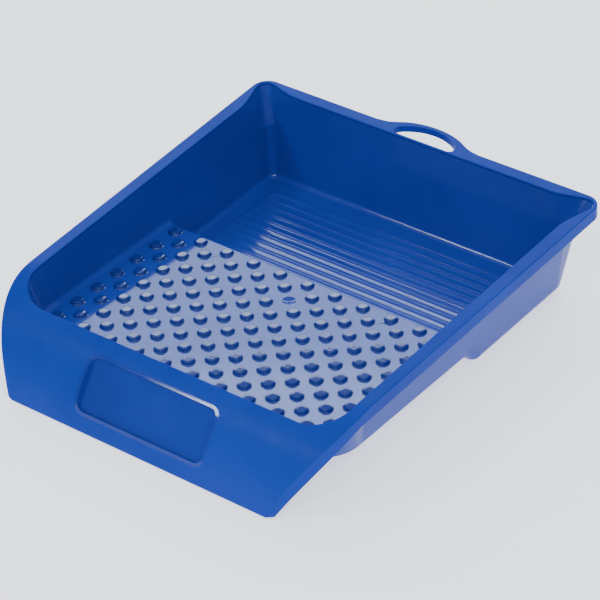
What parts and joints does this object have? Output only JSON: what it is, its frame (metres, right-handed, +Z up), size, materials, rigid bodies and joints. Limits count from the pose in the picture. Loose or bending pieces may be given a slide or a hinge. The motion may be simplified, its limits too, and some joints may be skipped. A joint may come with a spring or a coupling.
{
  "type": "paint roller tray",
  "caption": "Deep one-piece plastic roller tray: studded roll-off ramp, ribbed paint well, sloping walls, rolled front apron with a blank label recess, two pouring spouts and a hanging loop.",
  "frame": {"origin": "on the ground plane, under the middle of the tray's overall outline", "axes": "+Z up; +Y from the low front apron to the deep end with the hanging loop; +X across the tray, to the right when seen from the front apron"},
  "size_m": [0.3136, 0.3692, 0.0746],
  "materials": {
    "tray_plastic": "semi-gloss cobalt-blue moulded plastic, polished inside, a little softer on the rim and apron"
  },
  "bodies": {
    "root": {"apron_centre": "tray_plastic", "apron_left": "tray_plastic", "apron_lip_left": "tray_plastic", "apron_lip_right": "tray_plastic", "apron_right": "tray_plastic", "back_corner_left": "tray_plastic", "back_corner_right": "tray_plastic", "back_lip_left": "tray_plastic", "back_lip_right": "tray_plastic", "back_rim_left": "tray_plastic", "back_rim_right": "tray_plastic", "back_wall": "tray_plastic", "front_corner_left": "tray_plastic", "front_corner_right": "tray_plastic", "front_wall": "tray_plastic", "hang_loop": "tray_plastic", "label_recess": "tray_plastic", "ramp_plate": "tray_plastic", "ramp_side_left": "tray_plastic", "ramp_side_right": "tray_plastic", "rim_left": "tray_plastic", "rim_right": "tray_plastic", "roll_off_studs": "tray_plastic", "side_lip_left": "tray_plastic", "side_lip_right": "tray_plastic", "spout_left": "tray_plastic", "spout_right": "tray_plastic", "step_wall": "tray_plastic", "well_floor": "tray_plastic", "well_side_left": "tray_plastic", "well_side_right": "tray_plastic", "wiping_ribs": "tray_plastic"}
  },
  "joints": []
}
